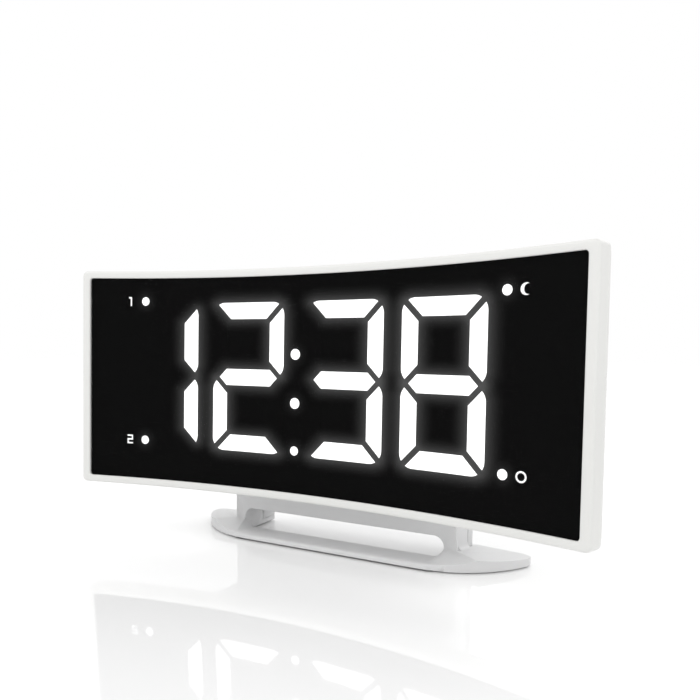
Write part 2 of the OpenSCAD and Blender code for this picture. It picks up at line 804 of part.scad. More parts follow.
// Level slots inside the loudspeaker's circle, each as long as the circle is there
module grille_cut() {
    n = floor((speaker_r - 2.4) / grille_pitch);
    translate([0, 0, speaker_z]) along_y(y_back - wall - over, y_back + over)
        for (i = [-n : n]) {
            z = i * grille_pitch;
            half = sqrt(pow(speaker_r - 1.6, 2) - z * z) - 1;
            round_rect([-half, z - grille_slot / 2], [half, z + grille_slot / 2],
                       grille_slot / 2 - 0.02);
        }
}

// ---------------------------------------------------------------------------------------------
// Keys

// Top keys: [middle, width]
top_keys = [[-(top_inner + top_outer) / 2, top_span],
            [top_inner + short_key_w / 2, short_key_w],
            [top_outer - short_key_w / 2, short_key_w]];

module top_key_way(key) {
    translate([key[0], top_key_y, cavity_top - over]) linear_extrude(wall + 2 * over)
        round_rect([-key[1] / 2 - key_gap, -top_key_d / 2 - key_gap],
                   [key[1] / 2 + key_gap, top_key_d / 2 + key_gap], 1 + key_gap);
}

// Key on top: cap, flange that stops it under the wall, and stems over the switches
module top_key(key) {
    z_flange = cavity_top - seat;
    translate([key[0], top_key_y, 0]) {
        translate([0, 0, z_flange - flange_t / 2])
            linear_extrude(flange_t / 2 + seat + wall + top_key_proud)
                round_rect([-key[1] / 2, -top_key_d / 2], [key[1] / 2, top_key_d / 2], 1);
        translate([0, 0, z_flange - flange_t]) linear_extrude(flange_t)
            round_rect([-key[1] / 2 - flange, -top_key_d / 2 - flange],
                       [key[1] / 2 + flange, top_key_d / 2 + flange], 1);
        translate([0, 0, z_flange - stem_l]) cylinder(r = stem_r, h = stem_l);
    }
}

module snooze_key() color([0.86, 0.86, 0.85]) top_key(top_keys[0]);

module radio_key() color([0.86, 0.86, 0.85]) top_key(top_keys[1]);

module sleep_key() color([0.86, 0.86, 0.85]) top_key(top_keys[2]);

// Key in the back: the same, lying down
module rear_key(i) color([0.86, 0.86, 0.85]) translate([rear_keys_x[i], 0, rear_key_z]) {
    y_flange = y_back - wall - seat;
    along_y(y_flange - flange_t / 2, y_back + rear_key_proud)
        round_rect([-rear_key_w / 2, -rear_key_h / 2], [rear_key_w / 2, rear_key_h / 2],
                   rear_key_h / 2 - 0.5);
    along_y(y_flange - flange_t, y_flange)
        round_rect([-rear_key_w / 2 - flange, -rear_key_h / 2 - flange],
                   [rear_key_w / 2 + flange, rear_key_h / 2 + flange], rear_key_h / 2 - 0.5);
    along_y(y_flange - stem_l, y_flange) circle(stem_r);
}

module memory_key() rear_key(5);

module alarm_1_key() rear_key(4);

module alarm_2_key() rear_key(3);

module minus_key() rear_key(2);

module plus_key() rear_key(1);

module flip_key() rear_key(0);

module top_key_boards() color([0.1, 0.35, 0.2]) for (m = [0, 1]) mirror([m, 0, 0])
    block([top_inner, top_key_y - top_key_d / 2, top_board_z],
          [half_w - wall - 0.6, top_key_y + top_key_d / 2 - 0.3, top_board_z + key_board_t]);

module rear_key_board() color([0.1, 0.35, 0.2])
    block([-key_post_x - key_post_r, rear_board_y, rear_key_z - key_board_half],
          [key_post_x + key_post_r, rear_board_y + key_board_t, rear_key_z + key_board_half]);

module key_switches() color([0.12, 0.12, 0.13]) {
    for (key = top_keys) translate([key[0], top_key_y, top_board_z + key_board_t]) {
        translate([-switch_size / 2, -switch_size / 2, 0])
            cube([switch_size, switch_size, switch_t - 0.4]);
        cylinder(r = 1, h = switch_t);
    }
    for (x = rear_keys_x) translate([x, rear_board_y + key_board_t, rear_key_z]) {
        translate([-switch_size / 2, 0, -switch_size / 2])
            cube([switch_size, switch_t - 0.4, switch_size]);
        rotate([-90, 0, 0]) cylinder(r = 1, h = switch_t);
    }
}

// ---------------------------------------------------------------------------------------------
// Electronics

module main_board() color([0.1, 0.35, 0.2]) difference() {
    block([-board_w / 2, board_y, board_z0], [board_w / 2, board_y + board_t, board_z1]);
    at_board_holes() along_y(board_y - over, board_y + board_t + over) circle(1.4);
}

// Chip and tuner, hung from the board's top edge
chip_top = 1.5;
chip_size = 10;
tuner_w = 16;
chip_x = 4;
tuner_x = 8;

module control_chip() color([0.1, 0.1, 0.1]) translate([0, board_y + board_t, board_z1 - chip_top])
    block([chip_x - chip_size, 0, -chip_size], [chip_x, 1.6, 0]);

module tuner_can() color([0.75, 0.76, 0.78])
    translate([0, board_y + board_t, board_z1 - chip_top])
        block([tuner_x, 0, -chip_size], [tuner_x + tuner_w, 2.8, 0]);

// Capacitors: one beside the power inlet and a pair at the board's top edge
cap_r = 2.5;
cap_places = [[socket_x - inlet_w / 2 - cap_r - 2, board_z0 + 3.2],
              [-chip_size - tuner_x - 2, board_z1 - 4], [-chip_size - 3, board_z1 - 4]];

module capacitors() color([0.15, 0.2, 0.5]) for (p = cap_places)
    translate([p[0], 0, p[1]]) along_y(board_y + board_t, board_y + board_t + 4) circle(cap_r);

// Room that the tray needs inside the housing, with its running gap
module tray_way() {
    block([-half_w - over, tray_y - tray_gap, tray_z - tray_h / 2 - tray_gap],
          [-half_w + wall + over, tray_y + tray_t + tray_gap, tray_z + tray_h / 2 + tray_gap]);
}

// Sleeve on the main board that the tray slides in
module battery_holder() color([0.13, 0.13, 0.14]) {
    x0 = -half_w + wall + 0.2;
    x1 = -half_w + tray_l + tray_gap + holder_wall;
    y1 = tray_y + tray_t + tray_gap + 0.8;
    z_out = tray_h / 2 + tray_gap + holder_wall;
    difference() {
        block([x0, board_y + board_t + seat, tray_z - z_out], [x1, y1, tray_z + z_out]);
        block([x0 - over, tray_y - tray_gap, tray_z - tray_h / 2 - tray_gap],
              [x1 - holder_wall, tray_y + tray_t + tray_gap, tray_z + tray_h / 2 + tray_gap]);
        block([x0 - over, tray_y, tray_z - cell_d / 4],
              [x1 - 2 * holder_wall - 3, y1 + over, tray_z + cell_d / 4]);
    }
}

// Tray that pulls out of the housing's side with the coin cell lying in it
module battery_tray() color([0.8, 0.8, 0.8]) {
    x0 = -half_w;
    cell_x = x0 + wall + 0.4 + cell_d / 2 + slip;
    difference() {
        block([x0, tray_y, tray_z - tray_h / 2], [x0 + tray_l, tray_y + tray_t, tray_z + tray_h / 2]);
        translate([cell_x, 0, tray_z]) along_y(tray_y + tray_base, tray_y + tray_t + over)
            circle(cell_d / 2 + slip);
        translate([x0, 0, tray_z]) along_y(tray_y + tray_t / 2 - 0.6, tray_y + tray_t / 2 + 0.6)
            round_rect([-0.8, -5], [0.8, 5], 0.7);
    }
}

module coin_cell() color([0.78, 0.79, 0.8]) {
    cell_x = -half_w + wall + 0.4 + cell_d / 2 + slip;
    translate([cell_x, 0, tray_z]) {
        along_y(tray_y + tray_base + seat, tray_y + tray_base + cell_t - 0.5) circle(cell_d / 2);
        along_y(tray_y + tray_base + cell_t - 0.6, tray_y + tray_base + cell_t)
            circle(cell_d / 2 - 1.2);
    }
}

// Two spring strips beside the sleeve's window
module battery_contacts() color([0.85, 0.75, 0.4])
    for (z = [-1, 1]) translate([0, 0, tray_z + z * 3])
        block([-half_w + wall + 5, tray_y + tray_t + tray_gap, -0.8],
              [-half_w + tray_l + tray_gap - holder_wall - 3 - seat,
           tray_y + tray_t + tray_gap + 0.3, 0.8]);

module usb_port() color([0.78, 0.79, 0.8]) translate([socket_x, 0, usb_z]) difference() {
    along_y(board_y + board_t + seat, socket_back) square([usb_w, usb_h], center = true);
    along_y(board_y + board_t + 2.4, socket_back + over)
        square([usb_w - 2 * usb_shell, usb_h - 2 * usb_shell], center = true);
}

module usb_tongue() color([0.95, 0.95, 0.95]) translate([socket_x, 0, usb_z])
    along_y(board_y + board_t + 2.4, socket_back - 0.6)
        translate([-usb_w / 2 + 1, usb_h / 2 - usb_shell - 2.1]) square([usb_w - 2, 1.9]);

module power_inlet() color([0.1, 0.1, 0.1]) translate([socket_x, 0, inlet_z]) difference() {
    along_y(board_y + board_t + seat, socket_back) square([inlet_w, inlet_h], center = true);
    along_y(socket_back - inlet_l, socket_back + over) circle(inlet_r);
}

module inlet_pin() color([0.8, 0.8, 0.82]) translate([socket_x, 0, inlet_z])
    along_y(socket_back - inlet_l, socket_back - 1) circle(1);

module speaker_frame() color([0.3, 0.3, 0.32]) translate([0, 0, speaker_z]) {
    y1 = y_back - wall - seat;
    difference() {
        along_y(y1 - cone_depth, y1) circle(speaker_r);
        along_y(y1 - cone_depth + 0.8, y1 + over) circle(speaker_r - speaker_rim);
        along_y(y1 - cone_depth - over, y1) circle(magnet_r - 2);
    }
}

// Paper cone with its dust cap
module speaker_cone() color([0.08, 0.08, 0.08]) {
    y1 = y_back - wall - seat;
    rim = speaker_r - speaker_rim - 0.15;
    translate([0, y1, speaker_z]) rotate([90, 0, 0]) rotate_extrude()
        polygon([[0, 1.4], [3, 1.8], [4, 2.3], [rim - 1.5, 0.9], [rim, 0.9], [rim, 1.4],
                 [rim - 1.5, 1.4], [4, 2.55], [0, 2.55]]);
}

module speaker_magnet() color([0.6, 0.61, 0.63]) translate([0, 0, speaker_z])
    along_y(y_back - wall - seat - cone_depth - magnet_t, y_back - wall - seat - cone_depth)
        circle(magnet_r);

// ---------------------------------------------------------------------------------------------
// Projector, drawn pointing straight up

module in_drum() {
    translate([0, y_seam, drum_z]) children();
}

// Hollow drum with its pivots and the collar that the focus ring turns on
module projector_drum() color([0.2, 0.2, 0.21]) in_drum() difference() {
    union() {
        along_x(-drum_w / 2, drum_w / 2) circle(drum_r);
        along_x(-bay_half - pivot_l, bay_half + pivot_l) circle(pivot_r);
        cylinder(r = collar_r, h = collar_top);
    }
    along_x(-drum_w / 2 + drum_wall, drum_w / 2 - drum_wall) circle(drum_r - drum_wall);
    cylinder(r = barrel_r + run, h = collar_top + over);
}

module focus_ring() color([0.12, 0.12, 0.13])
    in_drum() translate([0, 0, drum_r + ring_lift]) difference() {
        cylinder(r = ring_r, h = ring_h);
        translate([0, 0, -over]) cylinder(r = collar_r + run, h = ring_h + 2 * over);
        for (i = [0 : ring_grooves - 1]) rotate([0, 0, i * 360 / ring_grooves])
            translate([ring_r + 0.15, 0, -over]) cylinder(r = 0.45, h = ring_h + 2 * over);
    }

module lens_barrel() color([0.25, 0.25, 0.26]) in_drum() difference() {
    translate([0, 0, barrel_top - barrel_l]) cylinder(r = barrel_r, h = barrel_l);
    translate([0, 0, barrel_top - barrel_l - over]) cylinder(r = barrel_r - 1, h = barrel_l + 2 * over);
    translate([0, 0, barrel_top - glass_t - 0.3]) cylinder(r = barrel_r - 0.6, h = glass_t + over);
}

// Glass lens, bulging on its outer side
module projector_lens() color([0.6, 0.8, 0.95, 0.5]) in_drum() {
    r = barrel_r - 0.6 - seat;
    bulge_r = 6;
    z0 = barrel_top - glass_t - 0.3 + seat;
    intersection() {
        translate([0, 0, z0]) cylinder(r = r, h = glass_t);
        translate([0, 0, z0 + glass_t - bulge_r]) sphere(bulge_r);
    }
}

// Picture slide across the drum, lit from below
module picture_slide() color([0.35, 0.5, 0.6]) in_drum() translate([0, 0, -0.4])
    block([-5, -sqrt(pow(drum_r - drum_wall, 2) - 0.3) + slip, -0.4],
          [5, sqrt(pow(drum_r - drum_wall, 2) - 0.3) - slip, 0.4]);

module projector_led() color([0.9, 0.95, 1]) in_drum() {
    low = -sqrt(pow(drum_r - drum_wall, 2) - 4) + seat;
    block([-4, -2, low], [4, 2, low + 1]);
    translate([0, 0, low + 1]) cylinder(r = 1.5, h = 1.2);
}

// ---------------------------------------------------------------------------------------------
// Fasteners and pads

// Pan-head screw along Y, its head's seat at y = 0 and its tip at y = -length
module screw(length) {
    along_y(-length, 0) circle(screw_r - 0.1);
    difference() {
        along_y(0, screw_head_t) circle(screw_head_r);
        for (a = [0, 90]) rotate([0, a, 0])
            along_y(screw_head_t - 0.8, screw_head_t + over) square([2.6, 0.6], center = true);
    }
}

module housing_screws() color([0.7, 0.71, 0.73])
    at_posts() translate([0, y_back - screw_head_t - 1 + seat, 0]) screw(rear_depth + 4);

module board_screws() color([0.7, 0.71, 0.73])
    at_board_holes() translate([0, board_y + board_t + seat, 0]) screw(5.5);

module head_screws() color([0.7, 0.71, 0.73]) in_head()
    for (m = [0, 1], z = head_screw_z) mirror([m, 0, 0]) at_arc(head_screw_s)
        translate([0, head_depth + slip + wall + seat, z]) screw(wall + cover_t + 2);

// Pads: a pair under the rail's ends and a pair under the feet, beside the pillars
pad_rim = 0.7;
pad_places = [[half_w - pad_r - 3.5, y_rail + pad_r + pad_rim],
              [half_w + pad_r + 1, y_back - pad_r - 3 * pad_rim]];

module pad_seats() {
    for (m = [0, 1], p = pad_places) mirror([m, 0, 0]) translate([p[0], p[1], -over])
        cylinder(r = pad_r + slip, h = pad_t + seat + over);
}

module foot_pads() color([0.15, 0.15, 0.15])
    for (m = [0, 1], p = pad_places) mirror([m, 0, 0]) translate([p[0], p[1], 0])
        cylinder(r = pad_r, h = pad_t);

// ---------------------------------------------------------------------------------------------

front_bezel();
display_lens();
light_mask();
hour_tens_segments();
hour_units_segments();
minute_tens_segments();
minute_units_segments();
unlit_segments();
colon_dots();
indicator_dots();
reflector_block();
display_board();
segment_leds();
rear_cover();
board_header();
front_housing();
rear_housing();
main_board();
control_chip();
tuner_can();
capacitors();
battery_holder();
battery_tray();
coin_cell();
battery_contacts();
usb_port();
usb_tongue();
power_inlet();
inlet_pin();
speaker_frame();
speaker_cone();
speaker_magnet();
top_key_boards();
rear_key_board();
key_switches();
snooze_key();
radio_key();
sleep_key();
memory_key();
alarm_1_key();
alarm_2_key();
minus_key();
plus_key();
flip_key();
projector_drum();
focus_ring();
lens_barrel();
projector_lens();
picture_slide();
projector_led();
housing_screws();
head_screws();
board_screws();
foot_pads();
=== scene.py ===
import json
import math

import bmesh
import bpy
import numpy as np
from mathutils import Matrix, Vector

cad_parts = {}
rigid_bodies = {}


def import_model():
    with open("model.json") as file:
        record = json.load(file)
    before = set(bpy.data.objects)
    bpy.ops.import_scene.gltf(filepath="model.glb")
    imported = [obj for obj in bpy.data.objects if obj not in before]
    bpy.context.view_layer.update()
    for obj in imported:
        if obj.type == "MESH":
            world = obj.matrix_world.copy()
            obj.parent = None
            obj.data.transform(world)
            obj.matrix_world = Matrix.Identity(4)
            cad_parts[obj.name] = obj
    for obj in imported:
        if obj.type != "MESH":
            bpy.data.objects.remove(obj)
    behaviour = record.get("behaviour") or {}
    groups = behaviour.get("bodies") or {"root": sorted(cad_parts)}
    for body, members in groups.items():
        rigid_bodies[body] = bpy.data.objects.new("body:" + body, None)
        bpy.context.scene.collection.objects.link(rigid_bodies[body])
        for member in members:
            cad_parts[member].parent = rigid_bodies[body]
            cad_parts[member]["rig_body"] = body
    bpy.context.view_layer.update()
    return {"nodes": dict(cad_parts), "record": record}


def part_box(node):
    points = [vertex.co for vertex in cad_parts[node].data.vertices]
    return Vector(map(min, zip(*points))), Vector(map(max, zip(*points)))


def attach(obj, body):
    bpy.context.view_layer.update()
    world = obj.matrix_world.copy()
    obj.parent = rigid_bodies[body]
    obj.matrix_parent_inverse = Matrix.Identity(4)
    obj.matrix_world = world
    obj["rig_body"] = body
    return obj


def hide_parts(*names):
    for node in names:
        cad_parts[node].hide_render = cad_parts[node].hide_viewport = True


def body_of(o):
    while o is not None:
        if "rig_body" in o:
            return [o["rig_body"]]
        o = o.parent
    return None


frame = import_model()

NODES = frame["nodes"]
MM = 0.001

# ------------------------------------------------------------------------------------------------
# The head's own measures, as in the part's source, in millimetres. On the head, s runs along the
# curve to the right, h up along the window, and r from the curve's axis.
CURVE_R = 300.0
LEAN = math.radians(2.1)
LENS_Y = -10.2357
WINDOW_Z = 52.0
WINDOW_W, WINDOW_H = 159.7, 64.3
FRAME_BAND, FRAME_END = 2.4, 2.9
LENS_UNDER, LIP_T, HEAD_DEPTH = 1.1, 0.7, 8.0
LENS_T, LENS_GAP = 1.5, 0.05
R_MASK = CURVE_R + LENS_T + LENS_GAP

# Digits: size, width of a segment, gap between two, and their places along the window
DIGIT_W, DIGIT_H, SEG_W, SEG_GAP = 25.2, 45.7, 5.0, 1.8
COLON_S, COLON_SPACE, PITCH, RISE = -6.1, 4.0, 30.8, 1.5
FIRST = COLON_S - COLON_SPACE - DIGIT_W / 2
SECOND = COLON_S + COLON_SPACE + DIGIT_W / 2
DIGIT_S = (FIRST - PITCH, FIRST, SECOND, SECOND + PITCH)

# Segments that each digit has, and the lit ones: 0 is the top one, 1 to 5 go on clockwise and 6
# is the middle one
MADE = ((1, 2), range(7), range(7), range(7))
LIT = ((1, 2), (0, 1, 6, 4, 3), (0, 1, 6, 2, 3), range(7))

# Round lights: the colon's two, two on each side and one under the colon
DOT_LEFT, DOT_RIGHT = DIGIT_S[0] - 7.0, DIGIT_S[3] + DIGIT_W / 2 + 4.9
DOT_HIGH, DOT_LOW = WINDOW_H / 2 - 7.0, -WINDOW_H / 2 + 12.3
COLON_DOTS = ((COLON_S, RISE + 7.3), (COLON_S, RISE - 7.2))
INDICATORS = (
    (DOT_LEFT, DOT_HIGH),
    (DOT_LEFT, DOT_LOW),
    (DOT_RIGHT, DOT_HIGH),
    (DOT_RIGHT, DOT_LOW),
    (COLON_S, DOT_LOW),
)
DOT_R = 1.35

# Keys: how far the flange stands out, its thickness, the stem's radius and its length to the
# flange's upper face
KEY_FLANGE, FLANGE_T, STEM_R, FLANGE_TOP = 0.8, 1.0, 1.3, 3.0


def head_point(s, h, r):
    """Point of the head, in metres in the part's frame."""
    a = s / CURVE_R
    x, y = r * math.sin(a), r * math.cos(a) - CURVE_R
    return Vector((
        x,
        LENS_Y + y * math.cos(LEAN) + h * math.sin(LEAN),
        WINDOW_Z - y * math.sin(LEAN) + h * math.cos(LEAN),
    )) * MM


# ------------------------------------------------------------------------------------------------
# Small helpers for materials
def linear(v):
    """sRGB value 0 to 255 to scene-linear."""
    c = v / 255.0
    return c / 12.92 if c <= 0.04045 else ((c + 0.055) / 1.055) ** 2.4


def grey(v, tint=(1.0, 1.0, 1.0)):
    g = linear(v)
    return (g * tint[0], g * tint[1], g * tint[2], 1.0)


def shade(colour, factor):
    return tuple(min(1.0, c * factor) for c in colour[:3]) + (1.0,)


# Sockets of a Mix node for colours, which share their names with its other kinds
MIX_FACTOR, MIX_A, MIX_B, MIX_RESULT = 0, 6, 7, 2


class Shader:
    """A new material with its node tree, and short ways to add to it."""

    def __init__(self, name):
        self.mat = bpy.data.materials.new(name)
        self.mat.use_nodes = True
        self.nodes = self.mat.node_tree.nodes
        self.bsdf = self.nodes["Principled BSDF"]

    def link(self, a, b):
        self.mat.node_tree.links.new(a, b)

    def set(self, **values):
        for key, value in values.items():
            self.bsdf.inputs[key.replace("_", " ")].default_value = value

    def place(self, stretch=(1.0, 1.0, 1.0)):
        coords = self.nodes.new("ShaderNodeTexCoord")
        mapping = self.nodes.new("ShaderNodeMapping")
        mapping.inputs["Scale"].default_value = stretch
        self.link(coords.outputs["Object"], mapping.inputs["Vector"])
        return mapping.outputs["Vector"]

    def noise(self, at, scale, detail=3.0):
        node = self.nodes.new("ShaderNodeTexNoise")
        node.inputs["Scale"].default_value = scale
        node.inputs["Detail"].default_value = detail
        self.link(at, node.inputs["Vector"])
        return node.outputs["Fac"]

    def blend(self, fac, low, high, socket):
        node = self.nodes.new("ShaderNodeMix")
        node.data_type = "RGBA"
        node.inputs[MIX_A].default_value = low
        node.inputs[MIX_B].default_value = high
        self.link(fac, node.inputs[MIX_FACTOR])
        self.link(node.outputs[MIX_RESULT], self.bsdf.inputs[socket])

    def spread(self, fac, low, high, socket):
        node = self.nodes.new("ShaderNodeMapRange")
        node.inputs["To Min"].default_value = low
        node.inputs["To Max"].default_value = high
        self.link(fac, node.inputs["Value"])
        self.link(node.outputs["Result"], self.bsdf.inputs[socket])

    def bump(self, height, depth, strength=0.35):
        node = self.nodes.new("ShaderNodeBump")
        node.inputs["Strength"].default_value = strength
        node.inputs["Distance"].default_value = depth * MM
        self.link(height, node.inputs["Height"])
        self.link(node.outputs["Normal"], self.bsdf.inputs["Normal"])


def moulded(name, colour, rough=0.45, grain=0.004, scale=2600.0, vary=0.015, specular=0.4,
            spread=0.04):
    """Moulded plastic: fine texture in the normal and gloss, faint mottling in the colour."""
    s = Shader(name)
    s.set(Specular_IOR_Level=specular)
    at = s.place()
    fine = s.noise(at, scale)
    s.blend(s.noise(at, 55.0, 4.0), shade(colour, 1.0 - vary), shade(colour, 1.0 + vary),
            "Base Color")
    s.spread(fine, rough - spread, rough + spread, "Roughness")
    s.bump(fine, grain)
    return s.mat


def metal(name, colour, rough=0.28):
    """Plated or brushed metal: fine streaks in the gloss and the normal."""
    s = Shader(name)
    s.set(Metallic=1.0)
    streaks = s.noise(s.place((1.0, 6.0, 1.0)), 900.0, 4.0)
    s.blend(streaks, shade(colour, 0.9), colour, "Base Color")
    s.spread(streaks, rough - 0.08, rough + 0.1, "Roughness")
    s.bump(streaks, 0.002, 0.15)
    return s.mat


def board(name):
    """Green solder mask with faint copper traces under it."""
    s = Shader(name)
    s.set(Roughness=0.3)
    brick = s.nodes.new("ShaderNodeTexBrick")
    brick.inputs["Color1"].default_value = (0.012, 0.10, 0.045, 1.0)
    brick.inputs["Color2"].default_value = (0.016, 0.13, 0.055, 1.0)
    brick.inputs["Mortar"].default_value = (0.035, 0.22, 0.09, 1.0)
    brick.inputs["Scale"].default_value = 260.0
    brick.inputs["Mortar Size"].default_value = 0.04
    s.link(s.place(), brick.inputs["Vector"])
    s.link(brick.outputs["Color"], s.bsdf.inputs["Base Color"])
    s.bump(brick.outputs["Fac"], 0.02, 0.2)
    return s.mat


def glowing(name, strength):
    """Even white glow with a faint cloudiness: light guides lit from behind, and painted glow on
    print.
    """
    s = Shader(name)
    s.set(Base_Color=(0.85, 0.85, 0.85, 1.0), Roughness=0.5, Emission_Strength=strength)
    s.blend(s.noise(s.place(), 350.0), (0.98, 0.98, 0.98, 1.0), (1.0, 1.0, 1.0, 1.0),
            "Emission Color")
    return s.mat


LENS_ALPHA = 0.12


def smoked(name):
    """Smoked acrylic with an anti-glare finish: nearly black, thin, with a quiet gloss."""
    s = Shader(name)
    s.set(Base_Color=(0.001, 0.001, 0.0011, 1.0), Alpha=LENS_ALPHA, Specular_IOR_Level=0.03)
    s.spread(s.noise(s.place(), 30.0, 5.0), 0.20, 0.26, "Roughness")
    return s.mat


def clear_glass(name, colour):
    """Clear plastic or film, with faint handling marks in its gloss."""
    s = Shader(name)
    s.set(Base_Color=colour, Transmission_Weight=1.0, IOR=1.5)
    s.spread(s.noise(s.place(), 500.0), 0.01, 0.05, "Roughness")
    return s.mat


def panel_black(name):
    """Black print behind the lens; its emission paints an even grey and the glow round the lit
    segments.
    """
    s = Shader(name)
    s.set(Base_Color=(0.001, 0.001, 0.001, 1.0), Roughness=0.7, Specular_IOR_Level=0.0)
    glow = s.nodes.new("ShaderNodeAttribute")
    glow.attribute_name = "glow"
    s.link(glow.outputs["Color"], s.bsdf.inputs["Emission Color"])
    s.set(Emission_Strength=1.0 / (1.0 - LENS_ALPHA))
    return s.mat


WHITE = moulded("white_shell", grey(219, (1.0, 1.0, 0.975)), rough=0.38, grain=0.002)
GREY = moulded("grey_shell", grey(217, (1.0, 1.0, 1.005)), rough=0.42, grain=0.004, scale=2200.0)
KEY = moulded("key_cap", grey(226, (1.0, 1.0, 0.99)), rough=0.36, grain=0.002)
BLACK = moulded("black_moulding", (0.018, 0.018, 0.019, 1.0), rough=0.45)
RING = moulded("ring_rubber", (0.014, 0.014, 0.015, 1.0), rough=0.62, grain=0.008)
WHITE_IN = moulded("white_moulding", grey(235), rough=0.5)
RUBBER = moulded("pad_rubber", (0.02, 0.02, 0.02, 1.0), rough=0.8, grain=0.02, scale=1500.0,
                 specular=0.2)
SLEEVE = moulded("capacitor_sleeve", (0.02, 0.03, 0.11, 1.0), rough=0.25)
CONE = moulded("cone_paper", (0.02, 0.02, 0.021, 1.0), rough=0.9, grain=0.05, scale=900.0)
ZINC = moulded("speaker_zinc", (0.10, 0.10, 0.105, 1.0), rough=0.4)
DIODE = moulded("diode", (0.85, 0.80, 0.55, 1.0), rough=0.3)
INK = moulded("key_print", grey(128), rough=0.6, grain=0.001)
STEEL = metal("steel", (0.66, 0.67, 0.69, 1.0))
BRASS = metal("brass", (0.82, 0.64, 0.30, 1.0), rough=0.3)
BOARD = board("circuit_board")
LIT_MAT = glowing("lit_guide", 1.3)
# The white print is given a glow of its own: painted light, since print gives off none
PRINT_PAINTED_GLOW = glowing("white_print_painted_glow", 0.9)
PANEL = panel_black("black_mask")
LENS = smoked("smoked_lens")
GLASS = clear_glass("clear_lens", (0.85, 0.92, 0.97, 1.0))
FILM = clear_glass("picture_film", (0.35, 0.45, 0.5, 1.0))

BY_SLOT = {
    "white_shell": WHITE, "grey_shell": GREY, "key_plastic": KEY, "smoked_lens": LENS,
    "black_mask": PANEL, "lit_guide": LIT_MAT, "dark_guide": PANEL, "white_plastic": WHITE_IN,
    "black_plastic": BLACK, "ring_plastic": RING, "circuit_board": BOARD, "led": DIODE,
    "steel": STEEL, "brass": BRASS, "capacitor_sleeve": SLEEVE, "speaker_metal": ZINC,
    "cone_paper": CONE, "clear_lens": GLASS, "picture_film": FILM, "pad_rubber": RUBBER,
}
for part in frame["record"]["subparts"]:
    ob = NODES[part["node"]]
    ob.data.materials.clear()
    ob.data.materials.append(BY_SLOT[part["material_slot"]])


# ------------------------------------------------------------------------------------------------
# Moulded edges of the parts that come straight from the CAD
EDGE_ANGLE = math.radians(35.0)


def edge_picker(x_from, x_to, z_from, z_to):
    """Node group that marks sharp edges for rounding, and leaves those in a region, given by the
    distance from the middle plane and the height, as crisp edges."""
    tree = bpy.data.node_groups.new("edge_picker", "GeometryNodeTree")
    for way in ("INPUT", "OUTPUT"):
        tree.interface.new_socket("Geometry", in_out=way, socket_type="NodeSocketGeometry")
    start, end = tree.nodes.new("NodeGroupInput"), tree.nodes.new("NodeGroupOutput")
    angle = tree.nodes.new("GeometryNodeInputMeshEdgeAngle")
    place = tree.nodes.new("ShaderNodeSeparateXYZ")
    tree.links.new(tree.nodes.new("GeometryNodeInputPosition").outputs[0], place.inputs[0])

    def calc(operation, a, b=0.0):
        node = tree.nodes.new("ShaderNodeMath")
        node.operation = operation
        for socket, value in zip(node.inputs, (a, b)):
            if isinstance(value, float):
                socket.default_value = value
            else:
                tree.links.new(value, socket)
        return node.outputs[0]

    sharp = calc("GREATER_THAN", angle.outputs[0], EDGE_ANGLE)
    aside = calc("ABSOLUTE", place.outputs[0])
    tight = calc("GREATER_THAN", aside, x_from * MM)
    for test in (calc("LESS_THAN", aside, x_to * MM),
                 calc("GREATER_THAN", place.outputs[2], z_from * MM),
                 calc("LESS_THAN", place.outputs[2], z_to * MM)):
        tight = calc("MULTIPLY", tight, test)
    last = start.outputs[0]
    for name, kind, value in (
            ("bevel_weight_edge", "FLOAT", calc("MULTIPLY", sharp, calc("SUBTRACT", 1.0, tight))),
            ("sharp_edge", "BOOLEAN", calc("MULTIPLY", sharp, tight))):
        mark = tree.nodes.new("GeometryNodeStoreNamedAttribute")
        mark.data_type, mark.domain = kind, "EDGE"
        mark.inputs["Name"].default_value = name
        tree.links.new(last, mark.inputs["Geometry"])
        tree.links.new(value, mark.inputs["Value"])
        last = mark.outputs[0]
    tree.links.new(last, end.inputs[0])
    return tree


def soften(node, width, segments=2, but=None):
    """Round a part's sharp edges in its mesh; width in millimetres, but not in that region."""
    ob = NODES[node]
    weld = ob.modifiers.new("weld", "WELD")
    weld.merge_threshold = 0.03 * MM
    flat = ob.modifiers.new("flat", "DECIMATE")
    flat.decimate_type = "DISSOLVE"
    flat.angle_limit = math.radians(0.5)
    if but:
        ob.modifiers.new("pick", "NODES").node_group = edge_picker(*but)
    edge = ob.modifiers.new("edge", "BEVEL")
    edge.width = width * MM
    edge.segments = segments
    edge.limit_method = "WEIGHT" if but else "ANGLE"
    edge.angle_limit = EDGE_ANGLE
    edge.use_clamp_overlap = False
    edge.harden_normals = True
    ob.data.shade_smooth()


# The slot's rounded ends in the stand and the speaker's slots are too tight to be rounded
soften("front_housing", 0.35, segments=3, but=(36.0, 99.0, -1.0, 6.0))
soften("rear_housing", 0.25, segments=3, but=(-1.0, 17.0, 20.0, 52.0))
for node, width in (("battery_tray", 0.2), ("projector_drum", 0.2), ("focus_ring", 0.1),
                    ("lens_barrel", 0.1), ("foot_pads", 0.2), ("housing_screws", 0.12),
                    ("usb_tongue", 0.1), ("power_inlet", 0.1)):
    soften(node, width)


# ------------------------------------------------------------------------------------------------
# Mesh helpers
def from_mesh(name, verts, faces, mats, smooth=True, closed=True):
    """Object of these points and faces; a closed solid gets its faces turned outwards."""
    me = bpy.data.meshes.new(name)
    me.from_pydata([tuple(v) for v in verts], [], faces)
    me.update()
    if closed:
        bm = bmesh.new()
        bm.from_mesh(me)
        bmesh.ops.recalc_face_normals(bm, faces=bm.faces)
        bm.to_mesh(me)
        bm.free()
    for m in mats:
        me.materials.append(m)
    if smooth:
        me.shade_smooth()
    ob = bpy.data.objects.new(name, me)
    bpy.context.scene.collection.objects.link(ob)
    return ob


